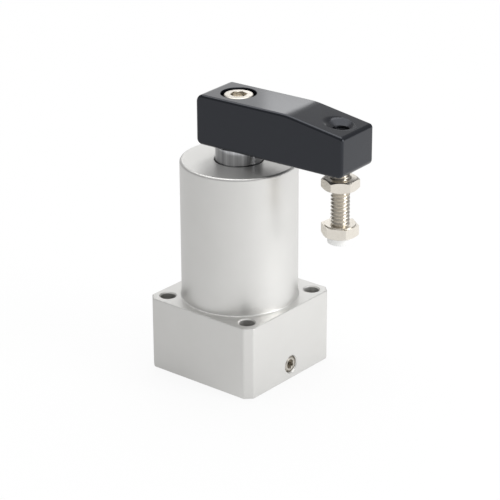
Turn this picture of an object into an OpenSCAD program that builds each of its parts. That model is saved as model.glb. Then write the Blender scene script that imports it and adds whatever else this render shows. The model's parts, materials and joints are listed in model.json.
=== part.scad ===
// Pneumatic swing clamp cylinder. Air lifts the rod, and two guide pins in helical
// grooves turn it, so that the clamping arm swings a quarter turn clear of the work.
// Millimetres, +Z up, origin at the centre of the base face. Drawn clamped: rod down,
// arm over the work along +X.

/* [Mounting block] */
// Side of the square mounting block
block_side = 45; // [44:0.5:60]
// Height of the mounting block
block_h = 26; // [18:0.5:40]
// Flat across each upright corner of the block, measured along one side
block_chamfer = 2.5; // [0.5:0.5:4]
// Distance from a bolt hole's axis to the nearest sides of the block
bolt_edge = 5; // [4:0.25:5.5]
// Diameter of the bolt holes
bolt_hole_d = 5.3; // [4.5:0.1:6]
// Chamfer at the mouths of the bolt holes
hole_chamfer = 0.4; // [0.1:0.1:0.6]

/* [Cylinder body] */
// Outer diameter of the round body
body_d = 40; // [39:0.5:41]
// Height of the body's top face above the base
body_h = 75; // [73:0.5:100]
// Radius of the rounded top rim
rim_round = 0.9; // [0.3:0.1:2]
// Fillet where the body meets the block
foot_fillet = 0.5; // [0.2:0.1:0.8]
// Thickness of the end wall that holds the rod seals
end_wall = 12; // [11:0.5:15]

/* [Bore and bottom cover] */
// Diameter of the cylinder bore
bore_d = 25; // [24:0.25:26]
// How far the cover's recess is wider than the bore, on the radius
recess_step = 0.55; // [0.4:0.05:0.8]
// Chamfer at the mouth of the cover's recess
recess_chamfer = 0.4; // [0.2:0.1:0.6]
// Thickness of the cover's flange
cover_t = 2.6; // [2.4:0.1:4]
// Height of the boss on the cover that stops the piston
boss_h = 4.8; // [4:0.1:8]
// Ring-shaped air gap between the boss and the bore
inlet_gap = 2.5; // [1.5:0.25:3.5]
// Height of the retaining ring above the base
ring_inset = 1.4; // [1.3:0.1:2]
// Thickness of the retaining ring
ring_t = 1.2; // [0.8:0.1:1.6]
// Depth of the retaining ring's groove, on the radius
ring_depth = 0.6; // [0.4:0.05:0.8]
// Radial width of the retaining ring
ring_w = 2; // [1.6:0.1:2.6]
// Diameter of the plier lugs at the ends of the retaining ring
lug_d = 4; // [3.4:0.1:4.6]
// Diameter of the plier holes in the lugs
lug_hole_d = 1.8; // [1.2:0.1:2.2]
// Angle between the middle of the ring's gap and each lug
lug_angle = 17; // [14:1:24]
// Section of the O-rings on the cover and inside the piston
o_ring_section = 1; // [0.8:0.05:1.2]

/* [Air ports] */
// Diameter of the side ports
port_d = 6; // [5:0.1:6.4]
// Height of the side ports above the base
port_z = 5.4; // [5:0.1:7]
// Chamfer at the mouths of the side ports
port_chamfer = 0.35; // [0.2:0.05:0.8]
// Diameter of the upright air passages
passage_d = 2.5; // [2:0.1:3]
// Wall between the bore and an upright air passage
passage_wall = 3.25; // [2.75:0.05:3.5]
// Diameter of the cross holes into the bore
cross_d = 2; // [1.5:0.1:2.4]
// Diameter of the O-ring seats under the base
seat_d = 5.7; // [5:0.1:6]
// Depth of the O-ring seats under the base
seat_depth = 1.25; // [0.9:0.05:1.3]
// Length of the port plugs
plug_l = 4; // [3:0.25:4]
// Depth of a plug's outer end below the block's face
plug_inset = 0.3; // [0.1:0.05:0.5]
// Chamfer at both ends of a plug
plug_chamfer = 0.7; // [0.2:0.05:0.9]
// Hexagon socket of the plugs, across flats
plug_socket = 3; // [2.4:0.1:3.2]
// Depth of the plugs' sockets
plug_socket_depth = 2.4; // [1.5:0.1:2.8]

/* [Piston] */
// Length of the piston
piston_l = 10; // [9.5:0.1:14]
// Width of the piston seal's groove
piston_seal_w = 3; // [2.4:0.1:3.4]
// Depth of the piston seal's groove
piston_seal_depth = 2.4; // [1.8:0.1:3]
// Width of the guide ring's groove
guide_w = 3; // [2:0.1:3.4]
// Depth of the guide ring's groove
guide_depth = 1.2; // [0.8:0.1:1.6]
// Land between each groove and the nearer end of the piston
piston_land = 1.5; // [1:0.1:1.7]
// Chamfer at the piston's ends
piston_chamfer = 0.4; // [0.2:0.1:0.8]
// Angle of the cut in the guide ring
guide_cut_angle = 4; // [2:1:10]

/* [Rod and swing] */
// Diameter of the rod
rod_d = 16; // [15:0.25:17]
// Length of rod that shows between the body and the arm
rod_show = 5.5; // [4:0.25:12]
// Travel of the rod
stroke = 18; // [10:0.5:18]
// Angle that the arm turns over the travel
swing = 90; // [45:5:90]
// Diameter of the rod's lower end, inside the piston
lower_end_d = 10; // [9:0.25:11]
// Diameter of the rod's upper end, inside the arm
upper_end_d = 12; // [11:0.25:13]
// Height of the rod's upper end
upper_end_h = 7; // [5:0.25:8]
// Distance across the flats of the rod's upper end
upper_end_flats = 10; // [9:0.25:11]
// Chamfer at the rod's shoulders and ends
rod_chamfer = 0.3; // [0.1:0.1:0.6]

/* [Guide bush and pins] */
// Gap left between the piston and the bush when the rod is up
stop_gap = 0.5; // [0.3:0.1:1]
// Ring-shaped air gap round the bush's lower end
relief_gap = 1.5; // [0.8:0.1:2]
// Height of that air gap
relief_h = 3.2; // [2.6:0.1:4]
// Diameter of the guide pins
pin_d = 4; // [3:0.1:4.4]
// Height of the guide pins above the bush's lower end
pin_rise = 7.5; // [6.5:0.1:8]
// Room round a pin's nose in its groove
pin_room = 0.15; // [0.1:0.01:0.3]

/* [Rod seals] */
// Room between the rod and its hole in the end wall, on the radius
rod_hole_gap = 0.15; // [0.12:0.01:0.3]
// Room between the rod and the mouth of its hole, on the radius
mouth_gap = 0.35; // [0.3:0.05:1]
// Height of the mouth above the wiper
mouth_h = 1; // [0.8:0.1:1.5]
// Height of the wiper
wiper_h = 2.8; // [2.2:0.1:3]
// Depth of the wiper's groove, from the rod
wiper_w = 2.5; // [2:0.1:3]
// Height of the wiper's lip above its groove
lip_h = 0.6; // [0.3:0.1:0.7]
// Thickness of the wiper's lip
lip_t = 0.2; // [0.1:0.05:0.25]
// Wall between the wiper and the rod seal
seal_wall = 1; // [0.8:0.1:1.5]
// Height of the rod seal
seal_h = 3; // [2.4:0.1:3.2]
// Depth of the rod seal's groove, from the rod
seal_w = 3; // [2.4:0.1:3.4]

/* [Clamp arm] */
// Angle of the arm from the X axis when clamped
arm_angle = 2.8; // [-10:0.1:10]
// Distance from the rod's axis to the back of the arm
arm_back = 11.1; // [10.5:0.1:14]
// Distance from the rod's axis to the tip of the arm
arm_front = 47.5; // [47:0.5:60]
// Width of the arm
arm_w = 18; // [16.5:0.25:24]
// Height of the arm over the rod
arm_h = 17.5; // [17:0.25:22]
// Height of the arm at its tip
tip_h = 14; // [12:0.25:16]
// Distance from the rod's axis to the ridge where the slope starts
ridge_x = 25.4; // [20:0.2:32]
// Radius of the arm's corners, seen from its side
arm_corner = 2.2; // [1.8:0.1:3]
// Radius of the edges round the arm's sides
arm_edge = 1.4; // [0.8:0.1:1.7]
// Diameter of the countersink over the thrust screw's hole
sink_d = 9; // [8:0.25:10]
// Angle of the countersink, from side to side
sink_angle = 120; // [90:5:130]

/* [Screws] */
// Thread diameter of the arm screw and piston screw
screw_d = 6; // [5.5:0.1:6.4]
// Diameter of the socket heads
cap_d = 10; // [9.5:0.1:10.4]
// Height of the arm screw's head
cap_k = 6; // [5:0.1:6.2]
// Hexagon socket of the arm screw, across flats
cap_socket = 5; // [4:0.1:5.5]
// Depth of the arm screw's socket
cap_socket_depth = 3; // [2:0.1:3.5]
// How much wider the chamfered mouth of a head's socket is than the socket's flats
socket_flare = 0.9; // [0.6:0.1:1.8]
// Turn of the arm screw's socket from the arm's own direction
cap_turn = 43; // [0:1:59]
// Depth of the arm screw's head below the arm's top
cap_inset = 0.3; // [0.1:0.05:0.6]
// Room round a socket head in its counterbore, on the radius
cap_room = 1; // [0.4:0.1:1.2]
// Chamfer at the rim of the socket heads
cap_chamfer = 0.5; // [0.2:0.1:1]
// Length of the arm screw under its head
arm_screw_l = 16; // [14:1:20]
// Height of the piston screw's head
low_cap_k = 3.9; // [3:0.1:4]
// Hexagon socket of the piston screw, across flats
low_cap_socket = 4; // [3:0.1:4.5]
// Depth of the piston screw's socket
low_cap_socket_depth = 2.3; // [1.5:0.1:2.5]
// Depth of the piston screw's head inside the piston
low_cap_inset = 0.3; // [0.2:0.1:0.6]
// Length of the piston screw under its head
piston_screw_l = 14; // [12:1:16]
// Depth of thread hole left beyond a screw's end
hole_spare = 1; // [0.5:0.1:2]
// Room round a screw in its clearance hole, on the radius
clear_room = 0.3; // [0.2:0.05:0.4]
// Chamfer at a screw's end
tip_chamfer = 0.6; // [0.2:0.1:0.9]

/* [Thrust screw] */
// Distance from the rod's axis to the thrust screw
thrust_x = 41; // [36:0.25:42]
// Thread diameter of the thrust screw
thrust_d = 6.35; // [6:0.05:6.6]
// Hexagons of the thrust screw and its lock nut, across flats
hex_af = 11; // [10:0.1:11.5]
// Height of the thrust screw's head, with its washer face
hex_k = 4.1; // [3.6:0.1:5]
// Height of the round washer face on the side of the head towards the nut
washer_h = 0.3; // [0.1:0.1:0.5]
// Distance from the arm's underside down to the thrust screw's head
thrust_drop = 19; // [12:0.1:22]
// Length of the thrust screw under its head
thrust_l = 30; // [28:0.5:32]
// Turn of the thrust screw's head from the arm's own direction
hex_turn = 22; // [0:1:59]
// Angle of the chamfers on the hexagons
hex_slope = 30; // [15:1:40]
// Diameter left flat at the ends of the hexagons, as a part of the width across flats
hex_flat = 0.95; // [0.85:0.01:0.98]
// Height of the lock nut
nut_m = 3.8; // [2.6:0.1:5]
// Turn of the lock nut from the arm's own direction
nut_turn = 34; // [0:1:59]
// Bare thread left between the lock nut and the arm
nut_drop = 3.1; // [1:0.1:4]

/* [Thrust pad] */
// Diameter of the pad
pad_d = 8.3; // [7:0.1:9.5]
// Height of the pad below the thrust screw's head
pad_h = 2.7; // [1.5:0.1:5]
// Radius of the pad's lower edge
pad_edge = 0.6; // [0.2:0.1:1.2]
// Diameter of the pad's stem, inside the screw's head
stem_d = 4; // [3:0.1:5]
// Length of the pad's stem
stem_l = 3; // [2:0.1:3.2]

/* [Fits] */
// Room between faces that slide or turn on each other, on the radius
run_gap = 0.05; // [0.02:0.01:0.1]
// Room between the piston and the bore, on the radius
piston_gap = 0.1; // [0.06:0.01:0.1]
// Room round a piece that sits still in its seat, on the radius
seat_gap = 0.03; // [0.02:0.01:0.06]
// Room between a screw and its tapped hole, on the radius
thread_gap = 0.05; // [0.02:0.01:0.1]
// Room between an O-ring and the floor of its groove
o_ring_room = 0.1; // [0.05:0.01:0.2]

/* [Hidden] */
$fn = 96;
// Overlap of a cut past the face that it opens
cut = 1;

// Heights, from the base up
cover_z = ring_inset + ring_t;
cover_top = cover_z + cover_t;
shoulder_z = cover_top + run_gap;
piston_z = cover_top + boss_h;
piston_top = piston_z + piston_l;
bush_z = piston_top + stroke + stop_gap;
bore_top = body_h - end_wall;
pin_z = bush_z + pin_rise;
wiper_top = body_h - mouth_h;
wiper_z = wiper_top - wiper_h;
seal_top = wiper_z - seal_wall;
seal_z = seal_top - seal_h;
arm_z = body_h + rod_show;
arm_top = arm_z + arm_h;

// Distance between bolt holes along each side
bolt_pitch = block_side - 2 * bolt_edge;

// Radii round the main axis
bore_r = bore_d / 2;
rod_r = rod_d / 2;
recess_r = bore_r + recess_step;
cover_r = recess_r - seat_gap;
groove_r = recess_r + ring_depth;
piston_r = bore_r - piston_gap;
bush_r = bore_r - seat_gap;
passage_r = bore_r + passage_wall + passage_d / 2;
port_end_r = passage_r - passage_d / 2 - run_gap;

// O-ring grooves and seats
o_groove_w = o_ring_section + 2 * seat_gap;
o_groove_depth = o_ring_section + o_ring_room;
base_o_section = seat_depth - seat_gap;
base_o_mid_d = seat_d - base_o_section - 2 * seat_gap;

// Cross holes from the air passages into the bore
lower_cross_z = port_z + (port_d - cross_d) / 2 - port_chamfer;
upper_cross_z = bush_z + relief_h / 2;

// Piston screw, from the bottom of the piston up
low_cap_z = piston_z + low_cap_inset;
low_cap_top = low_cap_z + low_cap_k;
piston_floor = low_cap_top + run_gap;

// Helical grooves: angle for each millimetre of height, and the slope that it makes
lead = swing / stroke;
helix_angle = atan(lead * PI / 180 * rod_r);
nose_r = pin_d / 2;
cam_r = nose_r + pin_room;
cam_over = cam_r + pin_room;
cam_z = pin_z - stroke - cam_over;
cam_l = stroke + 2 * cam_over;
cam_sides = 20;
cam_slices = 24;
pin_angles = [90, -90];

// Arm screw, from the arm's top down
cap_top = arm_top - cap_inset;
cap_z = cap_top - cap_k;
upper_end_top = arm_z + upper_end_h;

// Slope of the arm, and its height over the thrust screw
arm_slope = atan((arm_h - tip_h) / (arm_front - ridge_x));
arm_corner_sides = 24;
slope_z = arm_top - (thrust_x - ridge_x) * tan(arm_slope);

// Thrust screw, from its head up, and the holes that its thread runs in
thrust_hole_d = thrust_d + 2 * thread_gap;
hex_top = arm_z - thrust_drop;
hex_z = hex_top - hex_k;
nut_top = arm_z - nut_drop;
nut_z = nut_top - nut_m;

// Cylinder between two heights on the Z axis
module rod_between(d, z0, z1) {
    translate([0, 0, z0]) cylinder(d = d, h = z1 - z0);
}

// Cone between two heights on the Z axis
module cone_between(d0, z0, d1, z1) {
    translate([0, 0, z0]) cylinder(d1 = d0, d2 = d1, h = z1 - z0);
}

// Round bar with chamfered ends
module chamfered_bar(d, z0, z1, c0, c1) {
    r = d / 2;
    rotate_extrude()
        polygon([
            [0, z0], [r - c0, z0], [r, z0 + c0], [r, z1 - c1], [r - c1, z1], [0, z1]
        ]);
}

// Ring of square section
module flat_ring(od, id, z0, z1) {
    difference() {
        rod_between(od, z0, z1);
        rod_between(id, z0 - cut, z1 + cut);
    }
}

// Ring of round section, lying level
module o_ring(mid_d, section, z) {
    translate([0, 0, z])
        rotate_extrude()
            translate([mid_d / 2, 0])
                circle(d = section);
}

// Six-sided bar
module hex_bar(af, z0, z1) {
    translate([0, 0, z0]) cylinder(d = af / cos(30), h = z1 - z0, $fn = 6);
}

// Hexagon with its lower end chamfered, as on a bolt head, or both ends, as on a nut
module hex_body(z0, z1, both_ends) {
    flat_r = hex_af / 2 * hex_flat;
    corner_r = hex_af / 2 / cos(30) + cut;
    drop = (corner_r - flat_r) * tan(hex_slope);
    lower_end = [[0, z0], [flat_r, z0], [corner_r, z0 + drop]];
    upper_end = both_ends
        ? [[corner_r, z1 - drop], [flat_r, z1], [0, z1]]
        : [[corner_r, z1 + cut], [0, z1 + cut]];
    intersection() {
        hex_bar(hex_af, z0, z1);
        rotate_extrude() polygon(concat(lower_end, upper_end));
    }
}

// Socket head and shank, with the head's bearing face at height 0 and the shank below
module socket_screw(k, socket, socket_depth, l) {
    difference() {
        union() {
            chamfered_bar(cap_d, 0, k, 0, cap_chamfer);
            chamfered_bar(screw_d, -l, cut, tip_chamfer, 0);
        }
        hex_bar(socket, k - socket_depth, k + cut);
        cone_between(
            socket, k - socket_flare / 2, socket + socket_flare + 2 * cut, k + cut
        );
    }
}

// U-shaped seal ring with its hollow side down
module lip_seal(r0, r1, z0, z1) {
    lip = (r1 - r0) / 4;
    rotate_extrude()
        polygon([
            [r0, z0], [r0 + lip, z0], [r0 + 2 * lip, (z0 + z1) / 2], [r1 - lip, z0],
            [r1, z0], [r1, z1], [r0, z1]
        ]);
}

// Turns a piece with the arm
module on_arm() {
    rotate([0, 0, arm_angle]) children();
}

// Puts a piece on the thrust screw's axis
module on_thrust() {
    on_arm() translate([thrust_x, 0, 0]) children();
}

// Points a piece that lies along X at the front or the rear of the block
module on_port(side) {
    translate([0, 0, port_z])
        rotate([0, 0, side > 0 ? 0 : 180])
            rotate([0, 90, 0])
                children();
}

// Outline of the block, with its corners cut
module block_outline() {
    h = block_side / 2;
    c = h - block_chamfer;
    polygon([[h, c], [c, h], [-c, h], [-h, c], [-h, -c], [-c, -h], [c, -h], [h, -c]]);
}

// Half section of the round body, with its foot fillet and rounded rim
module body_section() {
    r = body_d / 2;
    translate([0, block_h / 2]) square([r, body_h - rim_round - block_h / 2]);
    translate([0, block_h / 2]) square([r - rim_round, body_h - block_h / 2]);
    translate([r - rim_round, body_h - rim_round]) circle(r = rim_round);
    difference() {
        translate([0, block_h / 2]) square([r + foot_fillet, block_h / 2 + foot_fillet]);
        translate([r + foot_fillet, block_h + foot_fillet]) circle(r = foot_fillet);
    }
}

// Bolt hole through the block, with both mouths chamfered
module bolt_hole() {
    rim_d = bolt_hole_d + 2 * (hole_chamfer + cut);
    rod_between(bolt_hole_d, -cut, block_h + cut);
    cone_between(rim_d, -cut, bolt_hole_d, hole_chamfer);
    cone_between(bolt_hole_d, block_h - hole_chamfer, rim_d, block_h + cut);
}

// Side port, from the face of the block inwards
module side_port() {
    face = block_side / 2;
    rod_between(port_d, port_end_r, face + cut);
    cone_between(port_d, face - port_chamfer, port_d + 2 * (port_chamfer + cut), face + cut);
}

// Everything cut from the housing on its main axis
module bore_cuts() {
    rim_d = 2 * (recess_r + recess_chamfer + cut);
    rod_between(2 * recess_r, -cut, shoulder_z);
    cone_between(rim_d, -cut, 2 * recess_r, recess_chamfer);
    rod_between(2 * groove_r, ring_inset, cover_z + run_gap);
    rod_between(bore_d, shoulder_z - cut, bore_top);
    rod_between(rod_d + 2 * rod_hole_gap, bore_top - cut, body_h);
    rod_between(rod_d + 2 * seal_w, seal_z, seal_top);
    rod_between(rod_d + 2 * wiper_w, wiper_z, wiper_top);
    rod_between(rod_d + 2 * mouth_gap, wiper_top - cut, body_h + cut);
}

// Side port, O-ring seat, upright passage and cross hole of one air way
module air_way(side, top_z, cross_z) {
    on_port(side) side_port();
    translate([side * passage_r, 0, 0]) {
        rod_between(seat_d, -cut, seat_depth);
        rod_between(passage_d, 0, top_z);
    }
    translate([0, 0, cross_z])
        rotate([0, side * 90, 0])
            rod_between(cross_d, bore_r - cut, passage_r);
}

module housing() {
    color("silver")
        difference() {
            union() {
                linear_extrude(block_h) block_outline();
                rotate_extrude() body_section();
            }
            bore_cuts();
            for (x = [-1, 1], y = [-1, 1])
                translate([x, y, 0] * bolt_pitch / 2) bolt_hole();
            air_way(1, port_z, lower_cross_z);
            air_way(-1, upper_cross_z + cross_d, upper_cross_z);
        }
}

module bottom_cover() {
    mid_z = (cover_z + cover_top) / 2;
    color("lightgray")
        difference() {
            union() {
                chamfered_bar(2 * cover_r, cover_z, cover_top, rod_chamfer, rod_chamfer);
                chamfered_bar(bore_d - 2 * inlet_gap, cover_top - cut, piston_z, 0, rod_chamfer);
            }
            flat_ring(
                2 * (cover_r + cut), 2 * (cover_r - o_groove_depth),
                mid_z - o_groove_w / 2, mid_z + o_groove_w / 2
            );
        }
}

module cover_o_ring() {
    outer_d = 2 * (recess_r - seat_gap);
    color("dimgray")
        o_ring(outer_d - o_ring_section, o_ring_section, (cover_z + cover_top) / 2);
}

// Internal retaining ring, with a plier lug at each end of its gap
module retaining_ring() {
    outer_r = groove_r - seat_gap;
    inner_r = outer_r - ring_w;
    lug_r = outer_r - lug_d / 2;
    color("dimgray")
        translate([0, 0, ring_inset])
            linear_extrude(ring_t)
                difference() {
                    union() {
                        difference() {
                            circle(r = outer_r);
                            circle(r = inner_r);
                            polygon([
                                [0, 0],
                                [sin(lug_angle), -cos(lug_angle)] * 2 * outer_r,
                                [-sin(lug_angle), -cos(lug_angle)] * 2 * outer_r
                            ]);
                        }
                        for (side = [-1, 1])
                            rotate(side * lug_angle) translate([0, -lug_r]) circle(d = lug_d);
                    }
                    for (side = [-1, 1])
                        rotate(side * lug_angle) translate([0, -lug_r]) circle(d = lug_hole_d);
                }
}

module base_o_rings() {
    color("dimgray")
        for (side = [-1, 1])
            translate([side * passage_r, 0, 0])
                o_ring(base_o_mid_d, base_o_section, seat_depth - base_o_section / 2);
}

// Set screw that closes a side port
module port_plug(side) {
    outer = block_side / 2 - plug_inset;
    color("tan")
        on_port(side)
            difference() {
                chamfered_bar(
                    port_d - 2 * thread_gap, outer - plug_l, outer, plug_chamfer, plug_chamfer
                );
                hex_bar(plug_socket, outer - plug_socket_depth, outer + cut);
            }
}

module port_plug_front() {
    port_plug(1);
}

module port_plug_rear() {
    port_plug(-1);
}

// Bush that guides the rod and carries the pins, with an air gap round its lower end
module guide_bush() {
    color("darkgoldenrod")
        difference() {
            rod_between(2 * bush_r, bush_z, bore_top - run_gap);
            rod_between(rod_d + 2 * run_gap, bush_z - cut, bore_top + cut);
            flat_ring(
                bore_d + cut, bore_d - 2 * relief_gap, bush_z - cut, bush_z + relief_h
            );
            for (angle = pin_angles)
                translate([0, 0, pin_z])
                    rotate([0, 90, angle])
                        rod_between(pin_d + 2 * seat_gap, 0, bore_d);
        }
}

// Guide pins with round noses, held in the bush by the wall of the bore
module guide_pins() {
    outer = sqrt(pow(bore_r - seat_gap, 2) - pow(nose_r, 2)) - seat_gap;
    color("gray")
        for (angle = pin_angles)
            translate([0, 0, pin_z])
                rotate([0, 90, angle]) {
                    rod_between(pin_d, rod_r, outer);
                    translate([0, 0, rod_r]) sphere(r = nose_r);
                }
}

module rod_seal() {
    color("dimgray")
        lip_seal(rod_r + run_gap, rod_r + seal_w - seat_gap, seal_z, seal_top - run_gap);
}

// Wiper with a lip that stands up round the rod
module rod_wiper() {
    r0 = rod_r + run_gap;
    r1 = rod_r + wiper_w - seat_gap;
    top = wiper_top - run_gap;
    color("dimgray")
        rotate_extrude()
            polygon([
                [r0 + lip_t, wiper_z], [r1, wiper_z], [r1, top], [r0 + lip_t, top],
                [r0 + lip_t / 2, wiper_top + lip_h], [r0, wiper_top + lip_h], [r0, wiper_z + lip_t]
            ]);
}

module piston() {
    guide_z = piston_z + piston_land;
    groove_top = piston_top - piston_land;
    o_mid = (piston_floor + piston_top) / 2;
    color("lightgray")
        difference() {
            chamfered_bar(2 * piston_r, piston_z, piston_top, piston_chamfer, piston_chamfer);
            rod_between(lower_end_d + 2 * run_gap, piston_z - cut, piston_top + cut);
            rod_between(cap_d + 2 * cap_room, piston_z - cut, piston_floor);
            rod_between(
                lower_end_d + 2 * (o_groove_depth + run_gap),
                o_mid - o_groove_w / 2, o_mid + o_groove_w / 2
            );
            flat_ring(
                bore_d + cut, 2 * (piston_r - guide_depth), guide_z, guide_z + guide_w
            );
            flat_ring(
                bore_d + cut, 2 * (piston_r - piston_seal_depth),
                groove_top - piston_seal_w, groove_top
            );
        }
}

module piston_seal() {
    groove_top = piston_top - piston_land;
    color("dimgray")
        lip_seal(
            piston_r - piston_seal_depth + seat_gap, bore_r - run_gap,
            groove_top - piston_seal_w + seat_gap, groove_top - seat_gap
        );
}

// Guide ring, cut through so that it springs into its groove
module piston_guide_ring() {
    guide_z = piston_z + piston_land;
    color("saddlebrown")
        difference() {
            flat_ring(
                bore_d - 2 * run_gap, 2 * (piston_r - guide_depth + seat_gap),
                guide_z + seat_gap, guide_z + guide_w - seat_gap
            );
            translate([0, 0, piston_z])
                linear_extrude(piston_l)
                    polygon([
                        [0, 0],
                        [cos(guide_cut_angle), sin(guide_cut_angle)] * bore_d,
                        [cos(guide_cut_angle), -sin(guide_cut_angle)] * bore_d
                    ]);
        }
}

module piston_o_ring() {
    color("dimgray")
        o_ring(
            lower_end_d + 2 * run_gap + o_ring_section, o_ring_section,
            (piston_floor + piston_top) / 2
        );
}

// Helical groove that a guide pin runs in, over the whole travel
module cam_groove(angle) {
    translate([0, 0, cam_z])
        rotate([0, 0, angle + lead * (cam_z - pin_z)])
            linear_extrude(cam_l, twist = -lead * cam_l, slices = cam_slices, $fn = cam_sides)
                translate([rod_r, 0])
                    scale([1, 1 / cos(helix_angle)])
                        circle(r = cam_r);
}

// Rod with a round lower end in the piston and a flatted upper end in the arm
module piston_rod() {
    tapped_d = screw_d + 2 * thread_gap;
    lower_hole = low_cap_top + piston_screw_l + hole_spare;
    upper_hole = cap_z - arm_screw_l - hole_spare;
    color("gainsboro")
        difference() {
            union() {
                chamfered_bar(lower_end_d, low_cap_top, piston_top + cut, rod_chamfer, 0);
                chamfered_bar(rod_d, piston_top, arm_z, rod_chamfer, rod_chamfer);
                on_arm()
                    intersection() {
                        chamfered_bar(upper_end_d, arm_z - cut, upper_end_top, 0, rod_chamfer);
                        translate([-upper_end_d, -upper_end_flats / 2, arm_z - cut])
                            cube([2 * upper_end_d, upper_end_flats, upper_end_h + 2 * cut]);
                    }
            }
            rod_between(tapped_d, low_cap_top - cut, lower_hole);
            rod_between(tapped_d, upper_hole, upper_end_top + cut);
            for (angle = pin_angles)
                cam_groove(angle);
        }
}

module piston_screw() {
    color("dimgray")
        translate([0, 0, low_cap_top])
            mirror([0, 0, 1])
                socket_screw(low_cap_k, low_cap_socket, low_cap_socket_depth, piston_screw_l);
}

// Disc with a rounded rim, on edge at a corner of the arm
module corner_disc() {
    step = 360 / arm_corner_sides;
    flat_r = arm_corner - arm_edge;
    rim = [for (a = [-90 : step : 90]) [flat_r, 0] + arm_edge * [cos(a), sin(a)]];
    rotate([90, 0, 0])
        rotate_extrude($fn = arm_corner_sides)
            polygon(concat([[0, -arm_edge]], rim, [[0, arm_edge]]));
}

// Arm with a level top over the rod, a slope towards the tip and all its edges rounded
module arm_body() {
    back = -arm_back + arm_corner;
    front = arm_front - arm_corner;
    side = arm_w / 2 - arm_edge;
    low = arm_z + arm_corner;
    high = arm_top - arm_corner;
    ridge = ridge_x - arm_corner * tan(arm_slope / 2);
    tip = arm_top - (front - ridge_x) * tan(arm_slope) - arm_corner / cos(arm_slope);
    corners = [[back, low], [back, high], [ridge, high], [front, tip], [front, low]];
    hull()
        for (y = [-side, side], p = corners)
            translate([p[0], y, p[1]]) corner_disc();
}

// Countersink over the thrust screw's hole, open to above the arm
module thrust_sink() {
    depth = (sink_d - thrust_hole_d) / 2 / tan(sink_angle / 2);
    rise = arm_h - tip_h + cut;
    wide_d = sink_d + 2 * rise * tan(sink_angle / 2);
    cone_between(thrust_hole_d, slope_z - depth, wide_d, slope_z + rise);
}

module clamp_arm() {
    flats = upper_end_flats + 2 * seat_gap;
    color("black")
        on_arm()
            difference() {
                arm_body();
                intersection() {
                    rod_between(upper_end_d + 2 * seat_gap, arm_z - cut, upper_end_top + seat_gap);
                    translate([-upper_end_d, -flats / 2, arm_z - cut])
                        cube([2 * upper_end_d, flats, upper_end_h + 2 * cut]);
                }
                rod_between(screw_d + 2 * clear_room, arm_z, arm_top);
                rod_between(cap_d + 2 * cap_room, cap_z, arm_top + cut);
                translate([thrust_x, 0, 0]) {
                    rod_between(thrust_hole_d, arm_z - cut, arm_top);
                    thrust_sink();
                }
            }
}

module arm_screw() {
    color("tan")
        on_arm()
            translate([0, 0, cap_z])
                rotate([0, 0, cap_turn])
                    socket_screw(cap_k, cap_socket, cap_socket_depth, arm_screw_l);
}

module lock_nut() {
    color("tan")
        on_thrust()
            difference() {
                rotate([0, 0, nut_turn]) hex_body(nut_z, nut_top, true);
                rod_between(thrust_hole_d, nut_z - cut, nut_top + cut);
            }
}

// Hexagon screw with a washer face, and a hole in its head for the pad's stem
module thrust_screw() {
    face_z = hex_top - washer_h;
    color("tan")
        on_thrust()
            difference() {
                union() {
                    rotate([0, 0, hex_turn]) hex_body(hex_z, face_z, false);
                    rod_between(hex_af * hex_flat, face_z - cut, hex_top);
                    chamfered_bar(thrust_d, hex_top - cut, hex_top + thrust_l, 0, tip_chamfer);
                }
                rod_between(stem_d + 2 * run_gap, hex_z - cut, hex_z + stem_l + run_gap);
            }
}

// Half section of the pad, with a rounded lower edge and a stem
module pad_section() {
    r = pad_d / 2;
    pad_z = hex_z - pad_h;
    translate([0, pad_z]) square([r - pad_edge, pad_h]);
    translate([0, pad_z + pad_edge]) square([r, pad_h - pad_edge]);
    translate([r - pad_edge, pad_z + pad_edge]) circle(r = pad_edge);
    translate([0, pad_z]) square([stem_d / 2, pad_h + stem_l]);
}

module thrust_pad() {
    color("white")
        on_thrust()
            rotate_extrude() pad_section();
}

housing();
bottom_cover();
cover_o_ring();
retaining_ring();
base_o_rings();
port_plug_front();
port_plug_rear();
guide_bush();
guide_pins();
rod_seal();
rod_wiper();
piston();
piston_seal();
piston_guide_ring();
piston_o_ring();
piston_rod();
piston_screw();
clamp_arm();
arm_screw();
lock_nut();
thrust_screw();
thrust_pad();
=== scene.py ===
import json
import math

import bmesh
import bpy
from mathutils import Matrix, Vector


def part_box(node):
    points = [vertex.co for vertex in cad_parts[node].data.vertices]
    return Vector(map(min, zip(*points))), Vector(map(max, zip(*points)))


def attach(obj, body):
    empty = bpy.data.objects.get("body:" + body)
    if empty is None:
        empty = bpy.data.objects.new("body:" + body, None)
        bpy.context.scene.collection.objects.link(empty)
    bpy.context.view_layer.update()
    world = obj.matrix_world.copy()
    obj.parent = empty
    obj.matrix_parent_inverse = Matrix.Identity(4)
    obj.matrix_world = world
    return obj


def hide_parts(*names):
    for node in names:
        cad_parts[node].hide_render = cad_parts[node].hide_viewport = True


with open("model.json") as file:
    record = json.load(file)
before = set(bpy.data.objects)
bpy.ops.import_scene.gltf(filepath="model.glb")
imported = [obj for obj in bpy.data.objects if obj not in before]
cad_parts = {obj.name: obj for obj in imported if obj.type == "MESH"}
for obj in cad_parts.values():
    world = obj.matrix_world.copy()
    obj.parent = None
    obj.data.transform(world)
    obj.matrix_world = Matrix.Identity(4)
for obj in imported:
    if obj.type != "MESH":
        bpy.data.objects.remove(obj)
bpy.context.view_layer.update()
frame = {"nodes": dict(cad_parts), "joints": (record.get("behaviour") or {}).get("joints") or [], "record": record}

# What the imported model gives
MM = 0.001
RECORD = frame["record"]
MOUNTS = {mount["name"]: mount for mount in RECORD["mounts"]}
SLOTS = {part["node"]: part["material_slot"] for part in RECORD["subparts"]}
BODIES = {node: body for body, nodes in RECORD["behaviour"]["bodies"].items() for node in nodes}
JOINTS = {joint["name"]: joint for joint in frame["joints"]}

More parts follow.
